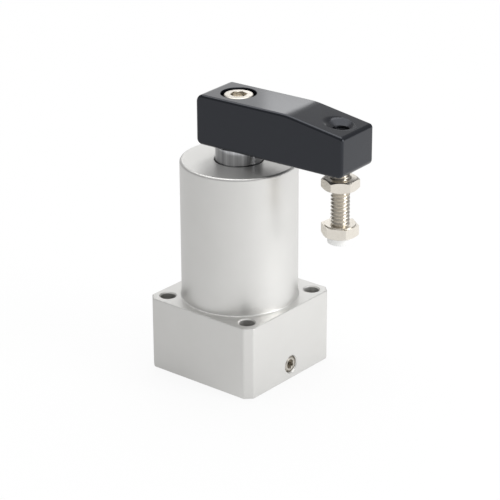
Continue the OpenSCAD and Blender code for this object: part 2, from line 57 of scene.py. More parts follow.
BLOCK_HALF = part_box("housing")[1].x
BODY_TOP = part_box("housing")[1].z
BOLT_DIMS = MOUNTS["base_bolts"]["dims"]
BOLT_PITCH = BOLT_DIMS["spacing_x_mm"] * MM
BOLT_R = BOLT_DIMS["hole_r_mm"] * MM
AIR_X = MOUNTS["lower_air_port"]["pos_m"][0]
AIR_R = MOUNTS["lower_air_port"]["dims"]["r_mm"] * MM
PORT_Z = (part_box("port_plug_front")[0].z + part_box("port_plug_front")[1].z) / 2
ROD_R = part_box("piston_rod")[1].y
ARM_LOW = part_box("clamp_arm")[0].z
ARM_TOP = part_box("clamp_arm")[1].z
CAP_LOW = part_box("arm_screw")[0].z
CAP_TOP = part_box("arm_screw")[1].z
THRUST_AT = Vector(JOINTS["screw_turn"]["pos_m"])
THRUST_X = THRUST_AT.xy.length
ARM_ANGLE = math.atan2(THRUST_AT.y, THRUST_AT.x)
HEAD_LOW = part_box("thrust_screw")[0].z
HEAD_TOP = THRUST_AT.z
SCREW_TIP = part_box("thrust_screw")[1].z
NUT_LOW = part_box("lock_nut")[0].z
NUT_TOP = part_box("lock_nut")[1].z
PAD_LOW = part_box("thrust_pad")[0].z
PAD_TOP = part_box("thrust_pad")[1].z

# Sizes of the housing that its box doesn't give
BLOCK_TOP = 26 * MM
BLOCK_CHAMFER = 2.5 * MM
BLOCK_BREAK = 0.48 * MM
BODY_R = 20 * MM
BODY_RIM = 0.9 * MM
BODY_FOOT = 0.5 * MM
BOLT_MOUTH = 0.4 * MM
BORE_MOUTH = 0.4 * MM
BORE_ROOM = 0.03 * MM
COVER_STEP = 0.55 * MM
COVER_HEIGHT = 2.6 * MM
RING_STEP = 0.6 * MM
ROD_HOLE_ROOM = 0.15 * MM
WIPER_LIP = 1 * MM
WIPER_LIP_ROOM = 0.35 * MM
PORT_R = 3 * MM
PORT_MOUTH = 0.35 * MM
PORT_PAST_AIR = 1.3 * MM
AIR_SEAT_R = 2.85 * MM
AIR_SEAT_DEPTH = 1.25 * MM
UPPER_AIR_END = 42 * MM

# Sizes of the arm. Its corners, edges, ridge and countersink follow the photo more closely than
# the solid does.
ARM_BACK = 11.1 * MM
ARM_FRONT = 47.48 * MM
ARM_HALF_W = 9 * MM
ARM_TIP = 14 * MM
ARM_BACK_CORNER = 2.6 * MM
ARM_LOW_CORNER = 2.0 * MM
ARM_TIP_CORNER = 1.4 * MM
ARM_EDGE = 1.0 * MM
RIDGE_X = 25.4 * MM
RIDGE_R = 28 * MM
SINK_R = 4.85 * MM
SINK_SPREAD = math.tan(math.radians(60))
ROD_END_R = 6.03 * MM
ROD_END_FLAT = 5.03 * MM
ROD_END_HEIGHT = 7.03 * MM
RECESS_EDGE = 0.15 * MM

# Sizes of the screws, the nut, the plugs and the pad. The cap's socket follows the photo too.
SCREW_R = 3 * MM
SCREW_ROOM = 0.3 * MM
SCREW_CHAMFER = 0.6 * MM
CAP_R = 5 * MM
CAP_HEIGHT = 6 * MM
CAP_SEAT = CAP_TOP - CAP_HEIGHT
CAP_ROOM = 1 * MM
CAP_EDGE = 0.5 * MM
CAP_SOCKET = 5.2 * MM
CAP_SOCKET_DEPTH = 3 * MM
CAP_FLARE = 0.12 * MM
CAP_TURN = math.radians(43)
THRUST_R = 3.175 * MM
PITCH = 1.27 * MM
THREAD_DEPTH = 0.7 * MM
THREAD_ROOM = 0.05 * MM
THREAD_FLAT = 0.12
THREAD_START = HEAD_TOP - PITCH / 2
TAPPED = 5 * PITCH
HEX_FLATS = 11 * MM
HEX_CHAMFER = math.radians(30)
HEAD_TURN = math.radians(22)
NUT_TURN = math.radians(34)
NUT_MOUTH = 0.4 * MM
WASHER_SHARE = 0.95
WASHER_R = HEX_FLATS / 2 * WASHER_SHARE
WASHER = 0.3 * MM
WASHER_EDGE = 0.12 * MM
PAD_R = 4.15 * MM
PAD_EDGE = 0.6 * MM
PAD_TOP_EDGE = 0.15 * MM
STEM_R = 2 * MM
STEM_ROOM = 0.05 * MM
PLUG_EDGE = 0.7 * MM
PLUG_SOCKET = 3 * MM
PLUG_SOCKET_DEPTH = 2.4 * MM
DRILL_POINT = 0.3

# Fineness of the meshes, the small broken edges and the room that cutting tools need
ROUND = 128
SMALL_ROUND = 64
EDGE_STEPS = 6
CORNER_STEPS = 10
BREAK_STEPS = 3
THREAD_SEGMENTS = 48
THREAD_POINTS = 12
SMOOTH_UP_TO = math.radians(26)
THREAD_SMOOTH_UP_TO = math.radians(34)
BROAD_FACE_WEIGHT = 100
LEVEL_FROM = 0.7
BREAK = 0.22 * MM
PAST = 1 * MM
TINY = 1e-6


class Flow:
    """A socket in a node tree. Arithmetic on it adds Math nodes."""

    def __init__(self, tree, socket=None):
        self.tree = tree
        self.socket = socket

    def node(self, kind, settings=None, sockets=None, output=0):
        """Adds a node, sets it up, then fills its sockets with values or links."""
        made = self.tree.nodes.new(kind)
        for name, value in (settings or {}).items():
            setattr(made, name, value)
        for name, value in (sockets or {}).items():
            if isinstance(value, Flow):
                self.tree.links.new(value.socket, made.inputs[name])
            else:
                made.inputs[name].default_value = value
        return Flow(self.tree, made.outputs[output] if made.outputs else None)

    def math(self, operation, *values):
        return self.node("ShaderNodeMath", {"operation": operation}, dict(enumerate(values)))

    def __add__(self, other):
        return self.math("ADD", self, other)

    __radd__ = __add__

    def __sub__(self, other):
        return self.math("SUBTRACT", self, other)

    def __rsub__(self, other):
        return self.math("SUBTRACT", other, self)

    def __mul__(self, other):
        return self.math("MULTIPLY", self, other)

    __rmul__ = __mul__

    def __truediv__(self, other):
        return self.math("DIVIDE", self, other)

    def __rtruediv__(self, other):
        return self.math("DIVIDE", other, self)

    def __gt__(self, other):
        return self.math("GREATER_THAN", self, other)

    def __lt__(self, other):
        return self.math("LESS_THAN", self, other)


# Mesh helpers

def to_object(bm, name):
    """Makes an object of a bmesh, with its faces pointing outwards."""
    bmesh.ops.recalc_face_normals(bm, faces=bm.faces)
    mesh = bpy.data.meshes.new(name)
    bm.to_mesh(mesh)
    bm.free()
    piece = bpy.data.objects.new(name, mesh)
    bpy.context.scene.collection.objects.link(piece)
    return piece


def bake(piece):
    """Turns what the modifiers make into the piece's own mesh."""
    graph = bpy.context.evaluated_depsgraph_get()
    made = bpy.data.meshes.new_from_object(piece.evaluated_get(graph))
    old = piece.data
    piece.modifiers.clear()
    piece.data = made
    bpy.data.meshes.remove(old)
    return piece


def combine(piece, operation, *tools):
    """Joins, cuts or crosses a piece with tools, which are used up."""
    for tool in tools:
        modifier = piece.modifiers.new(operation.lower(), "BOOLEAN")
        modifier.operation = operation
        modifier.solver = "EXACT"
        modifier.object = tool
    bake(piece)
    for tool in tools:
        bpy.data.objects.remove(tool)
    return piece


def moved(piece, turn=0.0, place=(0, 0, 0)):
    """Turns a piece's mesh about Z, then shifts it."""
    piece.data.transform(Matrix.Translation(place) @ Matrix.Rotation(turn, 4, "Z"))
    return piece


def on_thrust_axis(piece):
    """Moves a piece that was made on the Z axis to the thrust screw's place in the arm."""
    return moved(piece, ARM_ANGLE, (THRUST_AT.x, THRUST_AT.y, 0))


def in_side_port(piece, side):
    """Lays a piece that was made on the Z axis along the front or the rear side port."""
    lying = Matrix.Rotation(math.radians(90), 4, "Y")
    facing = Matrix.Rotation(0 if side > 0 else math.pi, 4, "Z")
    piece.data.transform(Matrix.Translation((0, 0, PORT_Z)) @ facing @ lying)
    return piece


def arc(centre, radius, start, end, steps=EDGE_STEPS):
    """Points on an arc, with its angles in degrees."""
    angles = [math.radians(start + (end - start) * k / steps) for k in range(steps + 1)]
    return [(centre[0] + radius * math.cos(a), centre[1] + radius * math.sin(a)) for a in angles]


def lathe(name, profile, segments=ROUND):
    """Turned solid about Z from (radius, height) points that start and end on the axis."""
    bm = bmesh.new()
    rings = []
    for radius, height in profile:
        count = segments if radius > TINY else 1
        angles = [2 * math.pi * k / segments for k in range(count)]
        places = [(radius * math.cos(a), radius * math.sin(a), height) for a in angles]
        rings.append([bm.verts.new(place) for place in places])
    for lower, upper in zip(rings, rings[1:]):
        for k in range(segments):
            corners = [lower[k % len(lower)], lower[(k + 1) % len(lower)]]
            corners += [upper[(k + 1) % len(upper)], upper[k % len(upper)]]
            face = list(dict.fromkeys(corners))
            if len(face) > 2:
                bm.faces.new(face)
    return to_object(bm, name)


def prism(name, outline, low, high, rim=0.0):
    """Upright prism on an outline, with all its edges broken by the rim's width."""
    bm = bmesh.new()
    floor = [bm.verts.new((x, y, low)) for x, y in outline]
    roof = [bm.verts.new((x, y, high)) for x, y in outline]
    bm.faces.new(floor)
    bm.faces.new(roof)
    count = len(outline)
    for k in range(count):
        after = (k + 1) % count
        bm.faces.new([floor[k], floor[after], roof[after], roof[k]])
    bmesh.ops.recalc_face_normals(bm, faces=bm.faces)
    if rim:
        bmesh.ops.bevel(
            bm, geom=bm.edges[:], offset=rim, segments=BREAK_STEPS, profile=0.5,
            affect="EDGES", offset_type="OFFSET",
        )
    return to_object(bm, name)


def hexagon(flats):
    """Corners of a hexagon with a given width across its flats."""
    corner = flats / 2 / math.cos(math.pi / 6)
    angles = [k * math.pi / 3 for k in range(6)]
    return [(corner * math.cos(a), corner * math.sin(a)) for a in angles]


def smooth(piece, angle=SMOOTH_UP_TO):
    """Shades smooth up to an angle, with the broad faces kept flat."""
    piece.data.shade_smooth()
    piece.data.set_sharp_from_angle(angle=angle)
    even = piece.modifiers.new("even", "WEIGHTED_NORMAL")
    even.keep_sharp = True
    even.weight = BROAD_FACE_WEIGHT
    return bake(piece)


def stand_for(piece, node, material):
    """Puts a finished piece in a solid's place, on its body and with its finish."""
    piece.name = node + "_finished"
    piece.data.name = piece.name
    piece.data.materials.clear()
    piece.data.materials.append(material)
    for face in piece.data.polygons:
        face.material_index = 0
    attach(piece, BODIES[node])
    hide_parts(node)


# Geometry Nodes

def node_group(name, inputs):
    """Starts a Geometry Nodes tree; gives its flow and its named inputs."""
    tree = bpy.data.node_groups.new(name, "GeometryNodeTree")
    tree.interface.new_socket("Geometry", in_out="OUTPUT", socket_type="NodeSocketGeometry")
    for label, kind in inputs.items():
        tree.interface.new_socket(label, in_out="INPUT", socket_type="NodeSocket" + kind)
    flow = Flow(tree)
    return flow, {label: flow.node("NodeGroupInput", output=label) for label in inputs}


def end_group(flow, geometry, material):
    """Ends a tree in realized geometry with a material."""
    real = flow.node("GeometryNodeRealizeInstances", sockets={"Geometry": geometry})
    shaded = flow.node("GeometryNodeSetMaterial", sockets={"Geometry": real, "Material": material})
    flow.node("NodeGroupOutput", sockets={"Geometry": shaded})


def grown(name, tree, values):
    """Plain mesh that a tree makes from the given values."""
    piece = to_object(bmesh.new(), name)
    modifier = piece.modifiers.new(name, "NODES")
    modifier.node_group = tree
    for item in tree.interface.items_tree:
        if item.in_out == "INPUT":
            modifier[item.identifier] = values[item.name]
    bake(piece)
    bm = bmesh.new()
    bm.from_mesh(piece.data)
    bmesh.ops.recalc_face_normals(bm, faces=bm.faces)
    bm.to_mesh(piece.data)
    bm.free()
    return piece


def thread_tree():
    """Threaded bar on the Z axis: a grid rolled into a right-hand helix and closed at both ends."""
    flow, size = node_group("thread", {
        "Radius": "Float", "Depth": "Float", "Pitch": "Float", "Length": "Float",
        "Tip Chamfer": "Float", "Segments": "Int", "Profile Points": "Int", "Material": "Material",
    })
    pitch = size["Pitch"]
    length = size["Length"]
    points = size["Profile Points"]
    end_radius = size["Radius"] - size["Tip Chamfer"]
    turns = flow.math("CEIL", length / pitch) + 2
    rows = turns * points + 3
    grid = flow.node("GeometryNodeMeshGrid", sockets={
        "Vertices X": size["Segments"] + 1, "Vertices Y": rows,
    })
    index = flow.node("GeometryNodeInputIndex")
    column = flow.math("FLOOR", (index + 0.5) / rows)
    row = index - column * rows
    share = column / size["Segments"]
    step = (row - 1) / points
    raised = (step + share - 1) * pitch
    height = flow.math("MAXIMUM", flow.math("MINIMUM", raised, length), 0)
    ridge = flow.math("PINGPONG", step, 0.5) * 2
    flank = flow.node("ShaderNodeClamp", sockets={
        "Value": (ridge - THREAD_FLAT) / (1 - 2 * THREAD_FLAT),
    })
    radius = size["Radius"] - size["Depth"] + size["Depth"] * flank
    radius = flow.math("MINIMUM", radius, end_radius + length - height)
    ended = flow.math("MAXIMUM", raised < TINY, raised > length - TINY)
    radius = radius * (1 - ended) + end_radius * ended
    pole = flow.math("MAXIMUM", row < 0.5, row > rows - 1.5)
    radius = radius * (1 - pole)
    angle = share * (2 * math.pi)
    place = flow.node("ShaderNodeCombineXYZ", sockets={
        "X": radius * flow.math("COSINE", angle),
        "Y": radius * flow.math("SINE", angle),
        "Z": height,
    })
    rolled = flow.node("GeometryNodeSetPosition", sockets={"Geometry": grid, "Position": place})
    closed = flow.node("GeometryNodeMergeByDistance", sockets={
        "Geometry": rolled, "Distance": 2 * TINY,
    })
    end_group(flow, closed, size["Material"])
    return flow.tree


def pattern_tree():
    """Copies of one tool on a square pattern of holes."""
    flow, size = node_group("hole_pattern", {
        "Tool": "Object", "Spacing": "Float", "Count": "Int", "Material": "Material",
    })
    side = size["Spacing"] * (size["Count"] - 1)
    grid = flow.node("GeometryNodeMeshGrid", sockets={
        "Size X": side, "Size Y": side, "Vertices X": size["Count"], "Vertices Y": size["Count"],
    })
    tool = flow.node(
        "GeometryNodeObjectInfo", {"transform_space": "ORIGINAL"}, {"Object": size["Tool"]},
        "Geometry",
    )
    copies = flow.node("GeometryNodeInstanceOnPoints", sockets={"Points": grid, "Instance": tool})
    end_group(flow, copies, size["Material"])
    return flow.tree


THREAD = thread_tree()
PATTERN = pattern_tree()


def thread(name, radius, length, chamfer, material):
    return grown(name, THREAD, {
        "Radius": radius, "Depth": THREAD_DEPTH, "Pitch": PITCH, "Length": length,
        "Tip Chamfer": chamfer, "Segments": THREAD_SEGMENTS, "Profile Points": THREAD_POINTS,
        "Material": material,
    })


# Finishes

def new_finish(name):
    """Material with a principled shader; gives the shader, its tree and the place on the piece."""
    material = bpy.data.materials.new(name)
    material.use_nodes = True
    tree = material.node_tree
    shader = tree.nodes["Principled BSDF"]
    flow = Flow(tree)
    place = flow.node("ShaderNodeTexCoord", output="Object")
    return material, shader, flow, place


def part_of(flow, vector, axis):
    """The X, Y or Z of a place or a direction."""
    return flow.node("ShaderNodeSeparateXYZ", sockets={"Vector": vector}, output=axis)


def radius_of(flow, place, centre=(0, 0)):
    """Distance of a place from an upright axis."""
    x = part_of(flow, place, "X") - centre[0]
    y = part_of(flow, place, "Y") - centre[1]
    return flow.math("SQRT", x * x + y * y)


def speckle(flow, place, size, detail=3.0):
    """Noise from 0 to 1 with features of a size in metres."""
    return flow.node("ShaderNodeTexNoise", sockets={
        "Vector": place, "Scale": 1 / size, "Detail": detail, "Roughness": 0.55,
    })


def lines(flow, along, width, detail=4.0):
    """Fine random lines across one direction, such as turning or grinding marks."""
    spread = flow.node("ShaderNodeCombineXYZ", sockets={"X": along / width})
    return flow.node("ShaderNodeTexNoise", sockets={
        "Vector": spread, "Scale": 1.0, "Detail": detail, "Roughness": 0.7,
    })


def level_mask(flow):
    """1 on faces that look up or down, and 0 on upright ones."""
    normal = flow.node("ShaderNodeNewGeometry", output="Normal")
    return flow.math("ABSOLUTE", part_of(flow, normal, "Z")) > LEVEL_FROM


def turned_marks(flow, place, width):
    """Rings on level faces and bands on upright ones, as a lathe leaves them."""
    level = level_mask(flow)
    along = radius_of(flow, place) * level + part_of(flow, place, "Z") * (1 - level)
    return lines(flow, along, width)


def feed(flow, shader, name, value):
    flow.tree.links.new(value.socket, shader.inputs[name])


def bump(flow, shader, height, depth, strength=1.0):
    """Relief of a depth in metres on the whole surface."""
    feed(flow, shader, "Normal", flow.node("ShaderNodeBump", sockets={
        "Height": height, "Distance": depth, "Strength": strength,
    }))


def colour(flow, shader, tone, dark, light):
    """Base colour between two shades. The Mix node's colours are inputs 6 and 7 and output 2."""
    mixed = flow.node(
        "ShaderNodeMix", {"data_type": "RGBA"},
        {"Factor": tone, 6: (*dark, 1), 7: (*light, 1)}, output=2,
    )
    feed(flow, shader, "Base Color", mixed)


def anodised_finish():
    """Clear anodised aluminium: satin block, and a round body with faint turning marks."""
    material, shader, flow, place = new_finish("satin_anodised_aluminium")
    above_block = part_of(flow, place, "Z") > BLOCK_TOP + TINY
    turned = above_block * (radius_of(flow, place) < BODY_R + BODY_FOOT)
    marks = turned_marks(flow, place, width=0.16 * MM)
    grain = speckle(flow, place, size=0.22 * MM)
    cloud = speckle(flow, place, size=9 * MM, detail=2.0)
    relief = grain * (1 - 0.6 * turned) + marks * turned * 0.9
    bump(flow, shader, relief, depth=0.008 * MM)
    tone = cloud * 0.6 + grain * 0.25 + marks * turned * 0.15
    colour(flow, shader, tone, dark=(0.69, 0.685, 0.665), light=(0.75, 0.745, 0.73))
    feed(flow, shader, "Roughness", 0.4 + 0.06 * grain)
    shader.inputs["Metallic"].default_value = 0.92
    return material


def turned_finish(name, dark, light, roughness, width, depth):
    """Bare turned metal."""
    material, shader, flow, place = new_finish(name)
    marks = turned_marks(flow, place, width)
    grain = speckle(flow, place, size=0.3 * MM)
    bump(flow, shader, marks + grain * 0.4, depth)
    colour(flow, shader, marks * 0.6 + grain * 0.4, dark, light)
    feed(flow, shader, "Roughness", roughness - 0.05 + 0.1 * marks)
    shader.inputs["Metallic"].default_value = 1.0
    return material


def ground_finish():
    """Ground and polished steel, with painted reflections as light and dark streaks along the rod."""
    material, shader, flow, place = new_finish("ground_steel")
    # Painted reflection: the colour is darker and lighter in bands round the rod, standing in for bright and dark
    # things it mirrors.
    around = flow.math("ARCTAN2", part_of(flow, place, "Y"), part_of(flow, place, "X"))
    painted_streak = lines(flow, around, width=0.3, detail=2.0)
    marks = turned_marks(flow, place, width=0.08 * MM)
    bump(flow, shader, marks, depth=0.002 * MM)
    bands = flow.node("ShaderNodeMapRange", sockets={
        "Value": painted_streak, "From Min": 0.35, "From Max": 0.65,
    })
    colour(flow, shader, bands, dark=(0.33, 0.333, 0.345), light=(0.62, 0.625, 0.64))
    feed(flow, shader, "Roughness", 0.08 + 0.08 * marks)
    shader.inputs["Metallic"].default_value = 1.0
    return material


def plated_finish(name, dark, light, roughness):
    """Bright plating with a soft waviness and fine specks."""
    material, shader, flow, place = new_finish(name)
    wave = speckle(flow, place, size=1.4 * MM, detail=2.0)
    speck = speckle(flow, place, size=0.15 * MM)
    bump(flow, shader, wave + speck * 0.25, depth=0.012 * MM, strength=0.6)
    colour(flow, shader, wave * 0.7 + speck * 0.3, dark, light)
    feed(flow, shader, "Roughness", roughness - 0.04 + 0.1 * speck)
    shader.inputs["Metallic"].default_value = 1.0
    return material


def black_arm_finish():
    """Black coating with a soft gloss and a fine skin, duller in the thrust screw's hole."""
    material, shader, flow, place = new_finish("black_semi_gloss")
    skin = speckle(flow, place, size=1.2 * MM, detail=2.0)
    fine = speckle(flow, place, size=0.15 * MM)
    bump(flow, shader, skin + fine * 0.15, depth=0.005 * MM, strength=0.4)
    tone = fine * 0.3 + skin * 0.7
    colour(flow, shader, tone, dark=(0.003, 0.0035, 0.005), light=(0.0055, 0.0063, 0.009))
    in_hole = radius_of(flow, place, THRUST_AT) < SINK_R
    feed(flow, shader, "Roughness", 0.12 + 0.03 * fine + 0.2 * in_hole)
    shader.inputs["Specular IOR Level"].default_value = 0.52
    shader.inputs["Specular Tint"].default_value = (0.86, 0.9, 1.0, 1.0)
    return material


def dull_finish(name, dark, light, roughness, size, depth):
    """Rubber, plastic or a phosphate coat: no metal shine, and a fine skin."""
    material, shader, flow, place = new_finish(name)
    grain = speckle(flow, place, size)
    cloud = speckle(flow, place, size * 12, detail=2.0)
    bump(flow, shader, grain, depth, strength=0.6)
    colour(flow, shader, grain * 0.4 + cloud * 0.6, dark, light)
    feed(flow, shader, "Roughness", roughness - 0.06 + 0.12 * grain)
    return material


FINISHES = {
    "anodised_aluminium": anodised_finish(),
    "turned_aluminium": turned_finish(
        "turned_aluminium", dark=(0.66, 0.66, 0.67), light=(0.76, 0.76, 0.76),
        roughness=0.3, width=0.14 * MM, depth=0.012 * MM,
    ),
    "black_finish": black_arm_finish(),
    "ground_steel": ground_finish(),
    "nickel_steel": plated_finish(
        "warm_nickel", dark=(0.69, 0.645, 0.575), light=(0.79, 0.755, 0.69), roughness=0.27,
    ),
    "spring_steel": dull_finish(
        "dark_phosphate", dark=(0.03, 0.03, 0.032), light=(0.075, 0.075, 0.08),
        roughness=0.45, size=0.1 * MM, depth=0.01 * MM,
    ),
    "bronze": turned_finish(
        "bearing_bronze", dark=(0.5, 0.33, 0.14), light=(0.62, 0.43, 0.2),
        roughness=0.34, width=0.14 * MM, depth=0.01 * MM,
    ),
    "seal_rubber": dull_finish(
        "seal_rubber", dark=(0.012, 0.012, 0.012), light=(0.028, 0.028, 0.028),
        roughness=0.6, size=0.12 * MM, depth=0.012 * MM,
    ),
    "guide_plastic": dull_finish(
        "guide_plastic", dark=(0.3, 0.13, 0.06), light=(0.4, 0.19, 0.1),
        roughness=0.5, size=0.15 * MM, depth=0.008 * MM,
    ),
    "white_plastic": dull_finish(
        "white_plastic", dark=(0.8, 0.8, 0.785), light=(0.86, 0.86, 0.85),
        roughness=0.42, size=0.12 * MM, depth=0.006 * MM,
    ),
}
PLUG_FINISH = plated_finish(
    "dull_nickel", dark=(0.46, 0.43, 0.38), light=(0.58, 0.55, 0.5), roughness=0.3,
)


def finish_of(node):
    return FINISHES[SLOTS[node]]


# Housing

def block_outline():
    """Square with its four corners cut off."""
    near = BLOCK_HALF - BLOCK_CHAMFER
    corner = [(BLOCK_HALF, near), (near, BLOCK_HALF)]
    quarter_turns = [(1, 0, 0, 1), (0, -1, 1, 0), (-1, 0, 0, -1), (0, 1, -1, 0)]
    return [(a * x + b * y, c * x + d * y) for a, b, c, d in quarter_turns for x, y in corner]


def body_profile():
    """Round body from inside the block up, with its foot fillet and rounded rim."""
    foot_r = BODY_R + BODY_FOOT
    foot = arc((foot_r, BLOCK_TOP + BODY_FOOT), BODY_FOOT, 270, 180)
    rim = arc((BODY_R - BODY_RIM, BODY_TOP - BODY_RIM), BODY_RIM, 0, 90)
    inside = BLOCK_TOP / 2
    return [(0, inside), (foot_r, inside)] + foot + rim + [(0, BODY_TOP)]


def bolt_tool():
    """Bolt hole with both its mouths chamfered."""
    wide = BOLT_R + BOLT_MOUTH + PAST
    return lathe("bolt_tool", [
        (0, -PAST), (wide, -PAST), (BOLT_R, BOLT_MOUTH), (BOLT_R, BLOCK_TOP - BOLT_MOUTH),
        (wide, BLOCK_TOP + PAST), (0, BLOCK_TOP + PAST),
    ], SMALL_ROUND)


def bore_tool():
    """Everything that is bored on the main axis, from the base up."""
    ring_low, ring_high = (corner.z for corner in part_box("retaining_ring"))
    seal_low, seal_high = (corner.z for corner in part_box("rod_seal"))
    seal_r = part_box("rod_seal")[1].x
    wiper_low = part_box("rod_wiper")[0].z
    wiper_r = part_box("rod_wiper")[1].x
    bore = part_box("guide_bush")[1].x + BORE_ROOM
    bore_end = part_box("guide_bush")[1].z
    seat = bore + COVER_STEP
    seat_end = ring_high + COVER_HEIGHT
    groove = seat + RING_STEP
    hole = ROD_R + ROD_HOLE_ROOM
    lip = ROD_R + WIPER_LIP_ROOM
    lip_low = BODY_TOP - WIPER_LIP
    return lathe("bore_tool", [
        (0, -PAST), (seat + BORE_MOUTH + PAST, -PAST), (seat, BORE_MOUTH),
        (seat, ring_low), (groove, ring_low), (groove, ring_high), (seat, ring_high),
        (seat, seat_end), (bore, seat_end), (bore, bore_end), (hole, bore_end),
        (hole, seal_low), (seal_r, seal_low), (seal_r, seal_high), (hole, seal_high),
        (hole, wiper_low), (wiper_r, wiper_low), (wiper_r, lip_low), (lip, lip_low),
        (lip, BODY_TOP - BREAK), (lip + BREAK + PAST, BODY_TOP + PAST), (0, BODY_TOP + PAST),
    ])


def port_tool(side):
    """Side port with a chamfered mouth, on the front or the rear of the block."""
    depth = AIR_X - PORT_PAST_AIR
    tool = lathe("port_tool", [
        (0, depth), (PORT_R, depth), (PORT_R, BLOCK_HALF - PORT_MOUTH),
        (PORT_R + PORT_MOUTH + PAST, BLOCK_HALF + PAST), (0, BLOCK_HALF + PAST),
    ], SMALL_ROUND)
    return in_side_port(tool, side)


def air_tool(side):
    """O-ring seat under the base and the air passage above it."""
    top = PORT_Z if side > 0 else UPPER_AIR_END
    tool = lathe("air_tool", [
        (0, -PAST), (AIR_SEAT_R, -PAST), (AIR_SEAT_R, AIR_SEAT_DEPTH), (AIR_R, AIR_SEAT_DEPTH),
        (AIR_R, top), (0, top),
    ], SMALL_ROUND)
    return moved(tool, place=(side * AIR_X, 0, 0))


def make_housing():
    piece = prism("housing", block_outline(), 0, BLOCK_TOP, BLOCK_BREAK)
    combine(piece, "UNION", lathe("body", body_profile()))
    one_hole = bolt_tool()
    holes = grown("bolt_holes", PATTERN, {
        "Tool": one_hole, "Spacing": BOLT_PITCH, "Count": 2, "Material": finish_of("housing"),
    })
    bpy.data.objects.remove(one_hole)
    combine(piece, "DIFFERENCE", bore_tool(), holes)
    for side in (1, -1):
        combine(piece, "DIFFERENCE", port_tool(side), air_tool(side))
    stand_for(smooth(piece), "housing", finish_of("housing"))


# Clamping arm

def arm_ring(inset):
    """Side view of the arm, drawn in by an inset, as points round its five rounded corners."""
    corners = [
        (-ARM_BACK, ARM_LOW, ARM_LOW_CORNER), (ARM_FRONT, ARM_LOW, ARM_LOW_CORNER),
        (ARM_FRONT, ARM_LOW + ARM_TIP, ARM_TIP_CORNER), (RIDGE_X, ARM_TOP, RIDGE_R),
        (-ARM_BACK, ARM_TOP, ARM_BACK_CORNER),
    ]
    points = []
    for k, (x, z, radius) in enumerate(corners):
        here = Vector((x, z))
        before = (Vector(corners[k - 1][:2]) - here).normalized()
        after = (Vector(corners[(k + 1) % len(corners)][:2]) - here).normalized()
        half = before.angle(after) / 2
        middle = here + (before + after).normalized() * radius / math.sin(half)
        out_before = Vector((-before.y, before.x))
        start = math.degrees(math.atan2(-out_before.y, -out_before.x))
        out_after = Vector((after.y, -after.x))
        end = math.degrees(math.atan2(-out_after.y, -out_after.x))
        sweep = (end - start + 180) % 360 - 180
        points += arc(middle, radius - inset, start + 180, start + 180 + sweep, CORNER_STEPS)
    return points


def arm_bar():
    """The arm before its holes, with the edges along both its sides rounded."""
    bm = bmesh.new()
    rings = []
    steps = [math.radians(90 * k / EDGE_STEPS) for k in range(EDGE_STEPS + 1)]
    for side in (-1, 1):
        for angle in steps if side > 0 else reversed(steps):
            inset = ARM_EDGE * (1 - math.cos(angle))
            y = side * (ARM_HALF_W - ARM_EDGE + ARM_EDGE * math.sin(angle))
            rings.append([bm.verts.new((x, y, z)) for x, z in arm_ring(inset)])
    for lower, upper in zip(rings, rings[1:]):
        for k in range(len(lower)):
            after = (k + 1) % len(lower)
            bm.faces.new([lower[k], lower[after], upper[after], upper[k]])
    bm.faces.new(rings[0])
    bm.faces.new(rings[-1])
    bmesh.ops.remove_doubles(bm, verts=bm.verts, dist=TINY)
    return to_object(bm, "arm")


def cut_rod_hole(piece):
    """Flat-sided seat for the rod's end, with the arm screw's hole and recess above it."""
    recess = CAP_R + CAP_ROOM
    hole = SCREW_R + SCREW_ROOM
    seat_top = ARM_LOW + ROD_END_HEIGHT
    screw_hole = lathe("screw_hole", [
        (0, ARM_LOW + PAST), (hole, ARM_LOW + PAST), (hole, CAP_SEAT), (recess, CAP_SEAT),
        (recess, ARM_TOP - RECESS_EDGE), (recess + RECESS_EDGE + PAST, ARM_TOP + PAST),
        (0, ARM_TOP + PAST),
    ])
    rod_end = lathe("rod_end", [
        (0, ARM_LOW - PAST), (ROD_END_R, ARM_LOW - PAST), (ROD_END_R, seat_top), (0, seat_top),
    ], SMALL_ROUND)
    outline = [
        (-recess, -ROD_END_FLAT), (recess, -ROD_END_FLAT),
        (recess, ROD_END_FLAT), (-recess, ROD_END_FLAT),
    ]
    combine(rod_end, "INTERSECT", prism("flats", outline, ARM_LOW - 2 * PAST, seat_top + PAST))
    combine(piece, "DIFFERENCE", screw_hole, rod_end)


def cut_thrust_hole(piece):
    """Plain hole from below, then a tapped stretch in mesh with the screw, then a countersink."""
    fall = (ARM_TOP - ARM_LOW - ARM_TIP) / (ARM_FRONT - RIDGE_X)
    slope_z = ARM_TOP - (THRUST_X - RIDGE_X) * fall
    clear = THRUST_R + THREAD_ROOM
    root = THRUST_R - THREAD_DEPTH + THREAD_ROOM
    sink_low = slope_z - (SINK_R - root) / SINK_SPREAD
    run_out = slope_z - (SINK_R - clear) / SINK_SPREAD
    turns = math.ceil((run_out - TAPPED - THREAD_START) / PITCH)
    tapped_low = THREAD_START + turns * PITCH
    above = slope_z + ARM_TIP
    tool = lathe("thrust_hole", [
        (0, ARM_LOW - PAST), (clear + 2 * PAST, ARM_LOW - PAST), (clear, ARM_LOW + PAST),
        (clear, tapped_low), (root, tapped_low), (root, sink_low),
        (SINK_R, slope_z), (SINK_R + ARM_TIP * SINK_SPREAD, above), (0, above),
    ], SMALL_ROUND)
    tapped = thread("tapped", clear, TAPPED, chamfer=0.0, material=finish_of("clamp_arm"))
    moved(tool, place=(THRUST_X, 0, 0))
    moved(tapped, place=(THRUST_X, 0, tapped_low))
    combine(piece, "DIFFERENCE", tool, tapped)


def make_arm():
    piece = arm_bar()
    cut_rod_hole(piece)
    cut_thrust_hole(piece)
    moved(piece, ARM_ANGLE)
    stand_for(smooth(piece), "clamp_arm", finish_of("clamp_arm"))


# Screws, nut, plugs and pad

